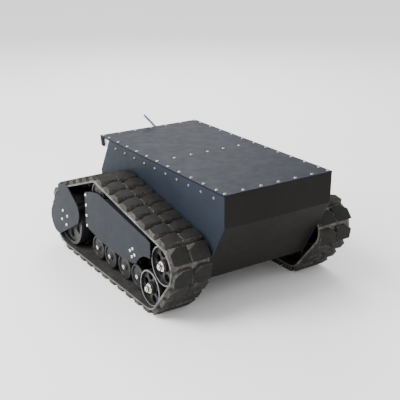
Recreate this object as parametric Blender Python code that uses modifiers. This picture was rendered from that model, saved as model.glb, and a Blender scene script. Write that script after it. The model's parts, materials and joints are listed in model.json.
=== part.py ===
"""Tracked tank chassis: a sheet-metal hull between two rubber tracks.

Units are metres. +Z is up, the front faces -Y and +X is the vehicle's left side.
The origin lies on the ground under the middle of the whole vehicle.
Side-view outlines are lists of (u, z), with u measured rearwards from the deck's front edge.
"""
import math

import bmesh
import bpy
from mathutils import Matrix, Vector

GAP = 0.0003                  # between pieces that touch

# Hull
OVERALL_LENGTH = 0.82021
DECK_LENGTH = 0.694
DECK_HALF_WIDTH = 0.184
DECK_TOP = 0.378
DECK_THICKNESS = 0.004
SHEET = 0.003                 # side panels, hull pan, covers
PANEL_OUTER = 0.1837          # outer face of the side panels
HULL_FRONT = 0.001
HULL_REAR = 0.695
FLOOR_Z = 0.097
FRONT_ROW_INSET = 0.0103
SIDE_SCREW_DROP = 0.021
RAIL_WIDTH = 0.010
RAIL_HEIGHT = 0.028
SLOT_WIDTH = 0.0054
SLOT_DEPTH = 0.012

# Track, as (u, z) centres and the radii that the belt's inner face runs on
TRACK_CENTRE = 0.254          # |x| of the middle of the belt
TRACK_WIDTH = 0.122
CARCASS = 0.006
LUG_HEIGHT = 0.016
LUG_BASE = 0.044
LUG_TOP = 0.038
LUG_COUNT = 34
SPROCKET_PITCHES = 12         # belt pitches round the sprocket
HORN_LENGTH = 0.016
HORN_HEIGHT = 0.011
HORN_WIDTH = 0.020
BELT_FACET = math.radians(12)  # angle of each flat of the belt's bends
GROUND_GAP = LUG_HEIGHT + CARCASS
SPROCKET_U = 0.705
FRONT_WHEEL_RADIUS = 0.0535
FRONT_WHEEL = (0.1815, GROUND_GAP + FRONT_WHEEL_RADIUS)
IDLER_RADIUS = 0.0573
IDLER = (0.1115, 0.1695)
TOP_WHEEL_RADIUS = 0.040
TOP_WHEEL = (0.483, 0.2585)
ROAD_WHEEL_RADIUS = 0.038
ROAD_WHEEL_LIFT = 0.003       # room over the belt for the bogies to rock
ROAD_WHEEL_Z = GROUND_GAP + ROAD_WHEEL_LIFT + ROAD_WHEEL_RADIUS
BOGIE_CENTRES = (0.327, 0.498)
BOGIE_HALF_BASE = 0.0405
BOGIE_PIVOT_Z = 0.094
WHEEL_HALF_WIDTH = 0.050
GROOVE_HALF_WIDTH = 0.016
AXLE_RADIUS = 0.009
SHAFT_RADIUS = 0.012
PIN_RADIUS = 0.008
SPINDLE_RADIUS = 0.007
BOGIE_THICKNESS = 0.012
BOGIE_PIVOT_BOSS = 0.014
BOGIE_END_BOSS = 0.012
PIVOT_PLAY = 0.0005
HORN_PLAY = 0.003             # between a horn's tip and the sprocket's groove
DRUM_RIM = 0.012              # radial thickness of the sprocket's rim
DRUM_HUB = 0.030
DRUM_RECESS = 0.008
HUB_RADIUS = 0.017            # idler and front wheel
RIM_WALL = 0.007
WEB_RECESS = 0.011
GROOVE_FLOOR = 0.022          # radius left inside the groove that the horns run in
HOLE_RADIUS = 0.0085
ROAD_WHEEL_HALF = 0.030
SPINDLE_STUB = 0.004
WASHER, NUT, THREAD_TIP = 0.003, 0.008, 0.0025

# Side plates of a track, as |x|
FRAME_INNER = 0.194
FRAME_THICKNESS = 0.004
COVER_OUTER = 0.311
GUARD_OUTER = 0.320
BEARING_THICKNESS = 0.011
GUARD_SCREW_CIRCLE = 0.0245
GUARD_TURN = math.radians(-28)
GUARD_POSTS = ((0.599, 0.1825), (0.612, 0.1945))
COVER_BOSS = (0.263, 0.1545)
COVER_FLANGE = 0.018
REAR_POST_U = 0.553
REAR_POST_Z = (0.1325, 0.2415)
COVER_POST = (0.1945, 0.209)
HULL_PADS = ((0.250, 0.179), (0.400, 0.145), (0.400, 0.220), (0.580, 0.200))
COVER_BOSS_RADIUS = 0.021
POST_RADIUS = 0.006
PAD_RADIUS = 0.014
TENSIONER_THICKNESS = 0.005
AXLE_HEAD = 0.0145
SCREW_SHANK = 0.0024
RAIL_X = PANEL_OUTER - SHEET - GAP - RAIL_WIDTH / 2
REAR_LIP_START = 0.6715

# Drive and electronics
MOTOR_RADIUS = 0.031
GEARBOX_RADIUS = 0.038
GEARBOX_LENGTH = 0.055
MOTOR_LENGTH = 0.100
HOUSING_HALF = 0.0445         # half the side of the square drive housing
BATTERY = (0.220, 0.160, 0.090)
BATTERY_U = 0.260
CONTROLLER = (0.160, 0.140, 0.034)
CONTROLLER_U = 0.490
FIN_COUNT = 7
FIN_HEIGHT = 0.010

# Antenna
ANTENNA_X = 0.142
ANTENNA_PIVOT = (0.704, 0.249)
ANTENNA_LEAN = math.radians(42.4)
ANTENNA_LENGTH = 0.235
ANTENNA_RADIUS = 0.0028
ANTENNA_FOOT = 0.0032         # radius of the sleeve at the hinge

MODEL = bpy.data.collections.new("tracked_tank_chassis")
CUTTERS = bpy.data.collections.new("cutters")

FINISHES = {
    "deck_paint": ((0.105, 0.112, 0.135, 1), 0.55, 0.2),
    "side_paint": ((0.070, 0.085, 0.105, 1), 0.55, 0.2),
    "black_paint": ((0.020, 0.020, 0.022, 1), 0.5, 0.2),
    "rail_aluminium": ((0.45, 0.46, 0.48, 1), 0.4, 0.9),
    "rubber": ((0.022, 0.021, 0.020, 1), 0.85, 0.0),
    "wheel_black": ((0.018, 0.018, 0.020, 1), 0.45, 0.0),
    "bright_steel": ((0.62, 0.60, 0.56, 1), 0.25, 1.0),
    "cast_grey": ((0.16, 0.16, 0.17, 1), 0.5, 0.7),
    "battery_wrap": ((0.03, 0.07, 0.16, 1), 0.4, 0.0),
    "antenna_grey": ((0.55, 0.57, 0.60, 1), 0.4, 0.1),
}

# Outlines seen from the side, as (u, z) points
HULL_CREASE_Z = 0.285
HULL_FLOOR = (0.107, 0.590)
HULL_REAR_KNEE = (0.650, 0.190)
HULL_REAR_Z = (0.234, 0.264)
HULL_REAR_TOP = 0.632
LIP_REAR = (0.6875, 0.6930)
COVER_NOTCH = (0.168, 0.0865)
COVER_NOTCH_RADIUS = 0.0864
COVER_FRONT_EDGE = [(0.163, 0.2205), (0.163, 0.181)]
COVER_LOWER_EDGE = [(0.268, 0.121), (0.3465, 0.115), (0.4625, 0.118), (0.549, 0.1325)]
COVER_TOP_EDGE = [(0.563, 0.146), (0.561, 0.2465), (0.5235, 0.259), (0.4695, 0.2695),
                  (0.1865, 0.2265)]
COVER_TOP_LIP = [(0.188, 0.2240), (0.434, 0.2610), (0.4345, 0.2580), (0.1885, 0.2210)]
COVER_REAR_LIP = [(0.5585, 0.1500), (0.5615, 0.1500), (0.5595, 0.2430), (0.5565, 0.2430)]
GUARD_CIRCLES = [(0.7675, 0.094, 0.050), (0.692, 0.177, 0.059), (0.635, 0.161, 0.043)]
FRAME_DRIVE_RADIUS = 0.050
FRAME_TOP_RADIUS = 0.022
FRAME_FRONT_RADIUS = 0.026

# Small parts
LIP_SKIN = 0.001                  # of the cover's plate, left outside a lip's root
FRAME_SHAFT_PLAY = 0.002
TENSIONER_FRONT = -0.020          # both from the idler's axis
TENSIONER_REAR = 0.052
TENSIONER_HALF_HEIGHT = 0.018
BEARING_CORNER = 0.036            # from the shaft's axis to a corner before it is cut off
THREAD_SHARE = 0.55               # of an axle's radius
NUT_SHARE = 1.1
HEAD_HEIGHT = 0.0028
HEAD_RADIUS = 0.0048
HEAD_FLAT = 0.0030


# ---------------------------------------------------------------- helpers

def clear_scene():
    for obj in list(bpy.data.objects):
        bpy.data.objects.remove(obj)
    bpy.context.scene.collection.children.link(MODEL)
    bpy.context.scene.collection.children.link(CUTTERS)
    CUTTERS.hide_render = True


def make_materials():
    for name, (colour, roughness, metallic) in FINISHES.items():
        material = bpy.data.materials.new(name)
        material.use_nodes = True
        shader = material.node_tree.nodes["Principled BSDF"]
        shader.inputs["Base Color"].default_value = colour
        shader.inputs["Roughness"].default_value = roughness
        shader.inputs["Metallic"].default_value = metallic
        material.diffuse_color = colour


def y_of(u):
    return u - OVERALL_LENGTH / 2


def at(x, place):
    """World point at x beside the side-view place (u, z)."""
    return Vector((x, y_of(place[0]), place[1]))


def add(mesh, name, finish=None, matrix=None, smooth=False):
    """One object of this mesh; without a finish it is a cutter."""
    obj = bpy.data.objects.new(name, mesh)
    if matrix is not None:
        obj.matrix_world = matrix
    if smooth:
        mesh.shade_smooth()
        mesh.set_sharp_from_angle(angle=math.radians(35))
    if finish is None:
        CUTTERS.objects.link(obj)
        obj.hide_render = True
        obj.display_type = "WIRE"
        return obj
    MODEL.objects.link(obj)
    if not mesh.materials:
        mesh.materials.append(bpy.data.materials[finish])
    return obj


def mesh_from(bm, name):
    bmesh.ops.recalc_face_normals(bm, faces=bm.faces)
    mesh = bpy.data.meshes.new(name)
    bm.to_mesh(mesh)
    bm.free()
    return mesh


def box_mesh(name, low, high):
    """An axis-aligned block between two corners."""
    low, high = Vector(low), Vector(high)
    bm = bmesh.new()
    bmesh.ops.create_cube(bm, size=1, matrix=Matrix.Translation((low + high) / 2)
                          @ Matrix.Diagonal((*(high - low), 1)))
    return mesh_from(bm, name)


def evaluated_mesh(obj, name):
    """The object's shape after its modifiers, welded and facing out, in its own space."""
    graph = bpy.context.evaluated_depsgraph_get()
    mesh = bpy.data.meshes.new_from_object(obj.evaluated_get(graph))
    bm = bmesh.new()
    bm.from_mesh(mesh)
    bmesh.ops.remove_doubles(bm, verts=bm.verts, dist=1e-6)
    mesh.name = name
    bmesh.ops.recalc_face_normals(bm, faces=bm.faces)
    bm.to_mesh(mesh)
    bm.free()
    mesh.materials.clear()
    return mesh


def flat_mesh(name, outlines, thickness):
    """A flat piece in local XY: the first outline is its edge, the others are holes."""
    curve = bpy.data.curves.new(name, "CURVE")
    curve.dimensions = "2D"
    curve.fill_mode = "BOTH"
    curve.extrude = thickness / 2
    for outline in outlines:
        spline = curve.splines.new("POLY")
        spline.points.add(len(outline) - 1)
        for point, (a, b) in zip(spline.points, outline):
            point.co = (a, b, 0, 1)
        spline.use_cyclic_u = True
    obj = bpy.data.objects.new(name, curve)
    MODEL.objects.link(obj)
    bpy.context.view_layer.update()
    mesh = evaluated_mesh(obj, name)
    bpy.data.objects.remove(obj)
    bpy.data.curves.remove(curve)
    return mesh


def side_matrix(x, place=(0.0, 0.0)):
    """Local X to world Y, local Y to world Z and local Z to world X, with this origin."""
    turn = Matrix(((0, 0, 1, 0), (1, 0, 0, 0), (0, 1, 0, 0), (0, 0, 0, 1)))
    return Matrix.Translation(at(x, place)) @ turn


def side_plate(name, finish, outlines, x_inner, thickness, side, place=(0.0, 0.0)):
    """A plate seen from the side, from |x| = x_inner outwards, in (u, z) from place."""
    centre = side * (x_inner + thickness / 2)
    return add(flat_mesh(name, outlines, thickness), name, finish, side_matrix(centre, place))


def turned_mesh(name, profile, steps, closed=True):
    """A profile of (radius, height) points turned about local Z."""
    bm = bmesh.new()
    verts = [bm.verts.new((radius, 0, height)) for radius, height in profile]
    for first, second in zip(verts, verts[1:]):
        bm.edges.new((first, second))
    if closed:
        bm.edges.new((verts[-1], verts[0]))
    mesh = bpy.data.meshes.new(name)
    bm.to_mesh(mesh)
    bm.free()
    obj = bpy.data.objects.new(name, mesh)
    MODEL.objects.link(obj)
    screw = obj.modifiers.new("turn", "SCREW")
    screw.steps = steps
    screw.render_steps = steps
    screw.use_merge_vertices = True
    screw.merge_threshold = 0.00001
    bpy.context.view_layer.update()
    turned = evaluated_mesh(obj, name)
    bpy.data.objects.remove(obj)
    return turned


def outward(side, place, x=0.0):
    """Local Z along the track's outward direction, with the origin at |x| and (u, z)."""
    turn = Matrix.Rotation(side * math.pi / 2, 4, "Y")
    return Matrix.Translation(at(side * x, place)) @ turn


def boolean(obj, other, operation, solver="EXACT"):
    modifier = obj.modifiers.new(operation.lower(), "BOOLEAN")
    modifier.operation = operation
    modifier.solver = solver
    modifier.object = other


def rod_mesh(radius, length):
    """Round bar on local +Z."""
    return turned_mesh("rod", [(0, length), (radius, length), (radius, 0), (0, 0)], 8,
                       closed=False)


def joined(name, placed):
    """One mesh of separate solids, from pairs of a mesh and its matrix."""
    bm = bmesh.new()
    for mesh, matrix in placed:
        before = len(bm.verts)
        bm.from_mesh(mesh)
        bm.verts.ensure_lookup_table()
        bmesh.ops.transform(bm, matrix=matrix, verts=bm.verts[before:])
    return mesh_from(bm, name)


def ring(centre, radius, count, turn=0.0):
    """Points round a circle in the side view, or a polygon when the count is small."""
    return [(centre[0] + radius * math.cos(turn + 2 * math.pi * k / count),
             centre[1] + radius * math.sin(turn + 2 * math.pi * k / count))
            for k in range(count)]


def arc(centre, radius, start, end, count):
    return [(centre[0] + radius * math.cos(start + (end - start) * k / count),
             centre[1] + radius * math.sin(start + (end - start) * k / count))
            for k in range(count + 1)]


def contacts(circles):
    """Where a loop pulled round these circles, in turning order, leaves each one: angles."""
    angles = []
    for (u0, z0, r0), (u1, z1, r1) in zip(circles, circles[1:] + circles[:1]):
        along = math.atan2(z1 - z0, u1 - u0)
        spread = math.asin((r0 - r1) / math.hypot(u1 - u0, z1 - z0))
        angles.append(along - math.pi / 2 + spread)
    return angles


def loop_stretches(circles):
    """The loop as (circle, first angle, last angle, length of the straight after it)."""
    leave = contacts(circles)
    stretches = []
    for k, (u, z, radius) in enumerate(circles):
        first, last = leave[k - 1], leave[k]
        while last < first:
            last += 2 * math.pi
        u1, z1, r1 = circles[(k + 1) % len(circles)]
        straight = math.sqrt((u1 - u) ** 2 + (z1 - z) ** 2 - (radius - r1) ** 2)
        stretches.append(((u, z, radius), first, last, straight))
    return stretches


def loop_length(circles):
    return sum(circle[2] * (last - first) + straight
               for circle, first, last, straight in loop_stretches(circles))


def loop_outline(circles, step=BELT_FACET):
    """A closed outline round the circles, with arcs in steps of about this angle."""
    outline = []
    for (u, z, radius), first, last, _ in loop_stretches(circles):
        outline += arc((u, z), radius, first, last, max(2, round((last - first) / step)))
    return outline


def loop_point(circles, distance):
    """Point and outward normal at this distance along the loop from the first contact."""
    for (u, z, radius), first, last, straight in loop_stretches(circles):
        bend = radius * (last - first)
        if distance <= bend:
            angle = first + distance / radius
            normal = (math.cos(angle), math.sin(angle))
            return (u + radius * normal[0], z + radius * normal[1]), normal
        distance -= bend
        if distance <= straight:
            normal = (math.cos(last), math.sin(last))
            return (u + radius * normal[0] - distance * normal[1],
                    z + radius * normal[1] + distance * normal[0]), normal
        distance -= straight
    return loop_point(circles, distance)


# ---------------------------------------------------------------- track geometry

def sprocket_radius(pitch):
    return SPROCKET_PITCHES * pitch / (2 * math.pi)


def track_circles(pitch, offset=0.0):
    """The four wheels that the belt runs round, at the belt's pitch line plus offset."""
    half = CARCASS / 2 + offset
    rear = sprocket_radius(pitch)
    return [(SPROCKET_U, rear + CARCASS / 2 + LUG_HEIGHT, rear + offset),
            (*TOP_WHEEL, TOP_WHEEL_RADIUS + half),
            (*IDLER, IDLER_RADIUS + half),
            (*FRONT_WHEEL, FRONT_WHEEL_RADIUS + half)]


def settle_pitch():
    """The pitch at which the belt's length round the wheels is a whole number of lugs."""
    low, high = 0.045, 0.060
    for _ in range(40):
        middle = (low + high) / 2
        if loop_length(track_circles(middle)) > LUG_COUNT * middle:
            low = middle
        else:
            high = middle
    return (low + high) / 2


PITCH = settle_pitch()
PITCH_RADIUS = sprocket_radius(PITCH)
SPROCKET = (SPROCKET_U, PITCH_RADIUS + CARCASS / 2 + LUG_HEIGHT)


def running(radius):
    """Radius of a wheel that just clears the flats of a belt bent to this radius."""
    return radius * math.cos(BELT_FACET / 2) - GAP


def belt_phase():
    """Distance along the loop of a horn, which puts a lug straight behind the sprocket's axis."""
    first = loop_stretches(track_circles(PITCH))[0][1]
    behind = PITCH_RADIUS * ((0.0 - first) % (2 * math.pi / SPROCKET_PITCHES))
    return behind + PITCH / 2


def offset_point(circles, distance, offset):
    (u, z), normal = loop_point(circles, distance % loop_length(circles))
    return (u + offset * normal[0], z + offset * normal[1])


def lugged_outline():
    """The belt's outer outline: one flat-topped lug midway between each pair of horns."""
    circles = track_circles(PITCH)
    outline = []
    for k in range(LUG_COUNT):
        middle = belt_phase() + (k + 0.5) * PITCH
        for shift, height in ((-LUG_BASE / 2, 0), (-LUG_TOP / 2, LUG_HEIGHT),
                              (LUG_TOP / 2, LUG_HEIGHT), (LUG_BASE / 2, 0)):
            outline.append(offset_point(circles, middle + shift, CARCASS / 2 + height))
    return outline


def horn_mesh():
    """A guide horn standing on local XZ, wider at its root, 2 mm of it inside the belt."""
    bm = bmesh.new()
    bmesh.ops.create_cube(bm, size=1)
    for vert in bm.verts:
        taper = 0.7 if vert.co.z > 0 else 1.0
        vert.co.x *= HORN_WIDTH * taper
        vert.co.y *= HORN_LENGTH * taper
        vert.co.z = HORN_HEIGHT if vert.co.z > 0 else -0.002
    return mesh_from(bm, "horn")


def horn_matrices(side):
    circles = track_circles(PITCH)
    matrices = []
    for k in range(LUG_COUNT):
        distance = (belt_phase() + k * PITCH) % loop_length(circles)
        place, normal = loop_point(circles, distance)
        inner = (place[0] - normal[0] * CARCASS / 2, place[1] - normal[1] * CARCASS / 2)
        inwards = math.atan2(-normal[1], -normal[0])
        turn = Matrix.Rotation(inwards - math.pi / 2, 4, "X")
        matrices.append(Matrix.Translation(at(side * TRACK_CENTRE, inner)) @ turn)
    return matrices


def track_belt(name, side):
    inner = loop_outline(track_circles(PITCH, -CARCASS / 2))
    belt = side_plate(name, "rubber", [lugged_outline(), inner],
                      TRACK_CENTRE - TRACK_WIDTH / 2, TRACK_WIDTH, side)
    horn = horn_mesh()
    horns = add(joined(name + "_horns", [(horn, matrix) for matrix in horn_matrices(side)]),
                name + "_horns")
    boolean(belt, horns, "UNION", "MANIFOLD")


# ---------------------------------------------------------------- wheels and axles

def sprocket(name, side):
    """Drive drum with a central web; the belt's horns run in the groove round its middle."""
    radius = running(PITCH_RADIUS - CARCASS / 2)
    rim_inner, hub, half = radius - DRUM_RIM, DRUM_HUB, WHEEL_HALF_WIDTH
    web, bore, groove = half - DRUM_RECESS, SHAFT_RADIUS + GAP, GROOVE_HALF_WIDTH
    floor = radius - HORN_HEIGHT - HORN_PLAY
    profile = [(radius, half), (rim_inner, half), (rim_inner, web), (hub, web), (hub, half),
               (bore, half), (bore, -half), (hub, -half), (hub, -web), (rim_inner, -web),
               (rim_inner, -half), (radius, -half), (radius, -groove), (floor, -groove),
               (floor, groove), (radius, groove)]
    add(turned_mesh(name, profile, 2 * SPROCKET_PITCHES), name, "wheel_black",
        outward(side, SPROCKET, TRACK_CENTRE), smooth=True)


def spoked_wheel(name, side, place, radius):
    """Twin-rim wheel: a recessed outer web with six round lightening holes."""
    half, groove, radius = WHEEL_HALF_WIDTH, GROOVE_HALF_WIDTH, running(radius)
    bore, web_face, rim_inner = AXLE_RADIUS + 2 * GAP, half - WEB_RECESS, radius - RIM_WALL
    profile = [(radius, half), (rim_inner, half), (rim_inner, web_face), (HUB_RADIUS, web_face),
               (HUB_RADIUS, half), (bore, half), (bore, -half), (radius, -half),
               (radius, -groove), (GROOVE_FLOOR, -groove), (GROOVE_FLOOR, groove),
               (radius, groove)]
    wheel = add(turned_mesh(name, profile, 18), name, "wheel_black",
                outward(side, place, TRACK_CENTRE), smooth=True)
    hole_circle = (rim_inner + GROOVE_FLOOR) / 2
    deep = groove / 2
    hole = turned_mesh("hole", [(0, half), (HOLE_RADIUS, half), (HOLE_RADIUS, deep), (0, deep)],
                       8, closed=False)
    spots = [Matrix.Rotation(math.pi * k / 3, 4, "Z") @ Matrix.Translation((hole_circle, 0, 0))
             for k in range(6)]
    cutter = add(joined(name + "_holes", [(hole, spot) for spot in spots]), name + "_holes",
                 matrix=outward(side, place, TRACK_CENTRE))
    boolean(wheel, cutter, "DIFFERENCE")


def top_wheel(name, side):
    """Plain twin return wheel under the belt's highest point."""
    radius, half, groove = running(TOP_WHEEL_RADIUS), WHEEL_HALF_WIDTH, GROOVE_HALF_WIDTH
    bore = AXLE_RADIUS + 2 * GAP
    profile = [(radius, half), (bore, half), (bore, -half), (radius, -half),
               (radius, -groove), (GROOVE_FLOOR, -groove), (GROOVE_FLOOR, groove),
               (radius, groove)]
    add(turned_mesh(name, profile, 16), name, "wheel_black",
        outward(side, TOP_WHEEL, TRACK_CENTRE), smooth=True)


def road_wheel(name, side, place):
    """Two discs on their own spindle, which turns in the bogie arm between them."""
    radius, groove, half = ROAD_WHEEL_RADIUS, GROOVE_HALF_WIDTH, ROAD_WHEEL_HALF
    spindle, end = SPINDLE_RADIUS, ROAD_WHEEL_HALF + SPINDLE_STUB
    profile = [(0, end), (spindle, end), (spindle, half), (radius, half),
               (radius, groove), (spindle, groove), (spindle, -groove), (radius, -groove),
               (radius, -half), (0, -half)]
    add(turned_mesh(name, profile, 14, closed=False), name, "wheel_black",
        outward(side, place, TRACK_CENTRE), smooth=True)


def bogie(name, side, centre_u):
    """Rocking arm between the discs of its two road wheels, drawn about its pivot."""
    drop = ROAD_WHEEL_Z - BOGIE_PIVOT_Z
    front, rear, pivot = (-BOGIE_HALF_BASE, drop), (BOGIE_HALF_BASE, drop), (0.0, 0.0)
    outline = loop_outline([(*rear, BOGIE_END_BOSS), (*pivot, BOGIE_PIVOT_BOSS),
                            (*front, BOGIE_END_BOSS)], math.radians(30))
    holes = [ring(front, SPINDLE_RADIUS + PIVOT_PLAY, 12),
             ring(rear, SPINDLE_RADIUS + PIVOT_PLAY, 12), ring(pivot, PIN_RADIUS + PIVOT_PLAY, 12)]
    side_plate(name, "black_paint", [outline] + holes, TRACK_CENTRE - BOGIE_THICKNESS / 2,
               BOGIE_THICKNESS, side, (centre_u, BOGIE_PIVOT_Z))


def axle_mesh(name, radius, length, head_radius, steps=10):
    """Round bar from the frame plate outwards, with a washer and a nut past its end."""
    washer_end, nut_end = length + WASHER, length + WASHER + NUT
    thread, nut = radius * THREAD_SHARE, radius * NUT_SHARE
    profile = [(0, nut_end + THREAD_TIP), (thread, nut_end + THREAD_TIP), (thread, nut_end),
               (nut, nut_end), (nut, washer_end), (head_radius, washer_end),
               (head_radius, length), (radius, length), (radius, 0), (0, 0)]
    return turned_mesh(name, profile, steps, closed=False)


def wheel_axle(name, side, place, start):
    """Shoulder bolt of a spoked wheel, from |x| = start outwards."""
    reach = TRACK_CENTRE + WHEEL_HALF_WIDTH + GAP - start
    add(axle_mesh(name, AXLE_RADIUS, reach, AXLE_HEAD), name, "bright_steel",
        outward(side, place, start), smooth=True)


def tensioner(name, side):
    """Block that slides along the frame plate and carries the idler's axle."""
    front, rear, half = TENSIONER_FRONT, TENSIONER_REAR, TENSIONER_HALF_HEIGHT
    outline = [(front, -half), (rear, -half), (rear, half), (front, half)]
    bore = ring((0, 0), AXLE_RADIUS + 2 * GAP, 12)
    side_plate(name, "cast_grey", [outline, bore], FRAME_INNER + FRAME_THICKNESS + GAP,
               TENSIONER_THICKNESS, side, IDLER)


def drive_shaft(name, side):
    """Shaft from the gear motor through the sprocket to the outboard bearing."""
    start = FRAME_INNER - GAP
    length = GUARD_OUTER - SHEET - GAP - start
    mesh = turned_mesh(name, [(0, length), (SHAFT_RADIUS, length), (SHAFT_RADIUS, 0), (0, 0)],
                       16, closed=False)
    add(mesh, name, "bright_steel", outward(side, SPROCKET, start), smooth=True)


# ---------------------------------------------------------------- side plates

def frame_welds(name, side):
    """Pins, posts and pads welded to the frame plate, each rooted in its middle."""
    start = FRAME_INNER + FRAME_THICKNESS / 2
    cover_reach = COVER_OUTER - SHEET - GAP - start
    guard_reach = GUARD_OUTER - SHEET - GAP - start
    placed = [(rod_mesh(COVER_BOSS_RADIUS, cover_reach), outward(side, COVER_BOSS, start)),
              (rod_mesh(POST_RADIUS, cover_reach), outward(side, COVER_POST, start)),
              (rod_mesh(AXLE_RADIUS, TRACK_CENTRE + WHEEL_HALF_WIDTH - start),
               outward(side, TOP_WHEEL, start))]
    placed += [(rod_mesh(POST_RADIUS, guard_reach), outward(side, place, start))
               for place in GUARD_POSTS]
    placed += [(rod_mesh(PIN_RADIUS, TRACK_CENTRE + BOGIE_THICKNESS - start),
                outward(side, (u, BOGIE_PIVOT_Z), start)) for u in BOGIE_CENTRES]
    placed += [(rod_mesh(PAD_RADIUS, start - PANEL_OUTER - GAP),
                outward(side, place, PANEL_OUTER + GAP)) for place in HULL_PADS]
    u0, u1, (z0, z1) = REAR_POST_U - POST_RADIUS, REAR_POST_U + POST_RADIUS / 2, REAR_POST_Z
    bar = flat_mesh("bar", [[(u0, z0), (u1, z0), (u1, z1), (u0, z1)]], cover_reach)
    placed.append((bar, side_matrix(side * (start + cover_reach / 2))))
    return add(joined(name, placed), name)


def track_frame(name, side):
    """Plate inside the belt loop, beside the hull, that carries every axle of the track."""
    outline = loop_outline([(*SPROCKET, FRAME_DRIVE_RADIUS), (*TOP_WHEEL, FRAME_TOP_RADIUS),
                            (*IDLER, FRAME_FRONT_RADIUS), (*FRONT_WHEEL, FRAME_FRONT_RADIUS)],
                           math.radians(30))
    shaft_hole = ring(SPROCKET, SHAFT_RADIUS + FRAME_SHAFT_PLAY, 16)
    plate = side_plate(name, "black_paint", [outline, shaft_hole],
                       FRAME_INNER, FRAME_THICKNESS, side)
    boolean(plate, frame_welds(name + "_welds", side), "UNION")


def cover_outline():
    """Flat-topped plate between the wheels, with a round notch over the front wheel."""
    notch = arc(COVER_NOTCH, COVER_NOTCH_RADIUS, math.radians(93), math.radians(28), 7)
    return COVER_FRONT_EDGE + notch + COVER_LOWER_EDGE + COVER_TOP_EDGE


def side_cover(name, side):
    plate = side_plate(name, "side_paint", [cover_outline()], COVER_OUTER - SHEET, SHEET, side)
    inner = COVER_OUTER - COVER_FLANGE
    depth = COVER_FLANGE - LIP_SKIN
    for k, lip in enumerate((COVER_TOP_LIP, COVER_REAR_LIP)):
        tool = flat_mesh(f"{name}_lip_{k}", [lip], depth)
        centre = side * (inner + depth / 2)
        boolean(plate, add(tool, tool.name, matrix=side_matrix(centre)), "UNION")


def rear_guard(name, side):
    """Plate outboard of the sprocket that holds the shaft's outer bearing."""
    outline = loop_outline(GUARD_CIRCLES, math.radians(12))
    holes = [ring(place, SCREW_SHANK + 2 * GAP, 8) for place in guard_screw_places()]
    side_plate(name, "side_paint", [outline] + holes, GUARD_OUTER - SHEET, SHEET, side)


def outboard_bearing(name, side):
    """Flanged bearing unit on the inside of the rear guard."""
    outline = ring(SPROCKET, BEARING_CORNER, 4, GUARD_TURN)
    corners = []
    for (u0, z0), (u1, z1) in zip(outline, outline[1:] + outline[:1]):
        for share in (0.2, 0.8):
            corners.append((u0 + (u1 - u0) * share, z0 + (z1 - z0) * share))
    holes = [ring(SPROCKET, SHAFT_RADIUS + 2 * GAP, 16)]
    holes += [ring(place, SCREW_SHANK + 2 * GAP, 8) for place in guard_screw_places()]
    side_plate(name, "cast_grey", [corners] + holes,
               GUARD_OUTER - SHEET - GAP - BEARING_THICKNESS, BEARING_THICKNESS, side)


def guard_screw_places():
    return ring(SPROCKET, GUARD_SCREW_CIRCLE, 4, GUARD_TURN)


def guard_screw(name, side, place):
    """Button-head screw through the guard plate; its head stands on the plate."""
    profile = [(0, HEAD_HEIGHT), (HEAD_FLAT, HEAD_HEIGHT), (HEAD_RADIUS, GAP),
               (SCREW_SHANK, GAP), (SCREW_SHANK, -SHEET), (0, -SHEET)]
    add(turned_mesh(name, profile, 8, closed=False), name, "bright_steel",
        outward(side, place, GUARD_OUTER), smooth=True)


# ---------------------------------------------------------------- hull

def sheet_outline(points, thickness):
    """Closed outline of a bent sheet whose outer face follows the points."""
    inner = []
    for k, point in enumerate(points):
        before = Vector(points[max(k - 1, 0)])
        after = Vector(points[min(k + 1, len(points) - 1)])
        here = Vector(point)
        first = (here - before).normalized() if k else (after - here).normalized()
        second = (after - here).normalized() if k < len(points) - 1 else first
        normal = (Vector((-first.y, first.x)) + Vector((-second.y, second.x))).normalized()
        scale = thickness / normal.dot(Vector((-first.y, first.x)))
        inner.append(tuple(here + normal * scale))
    return list(points) + inner[::-1]


def hull_profile():
    """Outer side profile of the hull, from the front top edge under to the rear top edge."""
    top = DECK_TOP - DECK_THICKNESS - GAP
    return [(HULL_FRONT, top), (HULL_FRONT, HULL_CREASE_Z), (HULL_FLOOR[0], FLOOR_Z),
            (HULL_FLOOR[1], FLOOR_Z), HULL_REAR_KNEE, (HULL_REAR, HULL_REAR_Z[0]),
            (HULL_REAR, HULL_REAR_Z[1]), (HULL_REAR_TOP, top)]


def hull_pan():
    """Front, floor and rear as one bent sheet, notched where the side rails pass."""
    width = 2 * (PANEL_OUTER - SHEET - GAP)
    pan = side_plate("hull_pan", "black_paint", [sheet_outline(hull_profile(), SHEET)],
                     -width / 2, width, 1)
    top = DECK_TOP - DECK_THICKNESS
    for side in (-1, 1):
        ends = (side * (RAIL_X - RAIL_WIDTH / 2 - GAP), side * 0.2)
        low = (min(ends), y_of(0.600), top - RAIL_HEIGHT - 2 * GAP)
        high = (max(ends), y_of(0.700), top + 0.01)
        boolean(pan, add(box_mesh(f"notch_{side}", low, high), f"notch_{side}"), "DIFFERENCE")


def side_panel(name, side):
    side_plate(name, "side_paint", [hull_profile()], PANEL_OUTER - SHEET, SHEET, side)


def deck_plate():
    half = DECK_HALF_WIDTH
    add(box_mesh("deck_plate", (-half, y_of(0), DECK_TOP - DECK_THICKNESS),
                 (half, y_of(DECK_LENGTH), DECK_TOP)), "deck_plate", "deck_paint")


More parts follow.
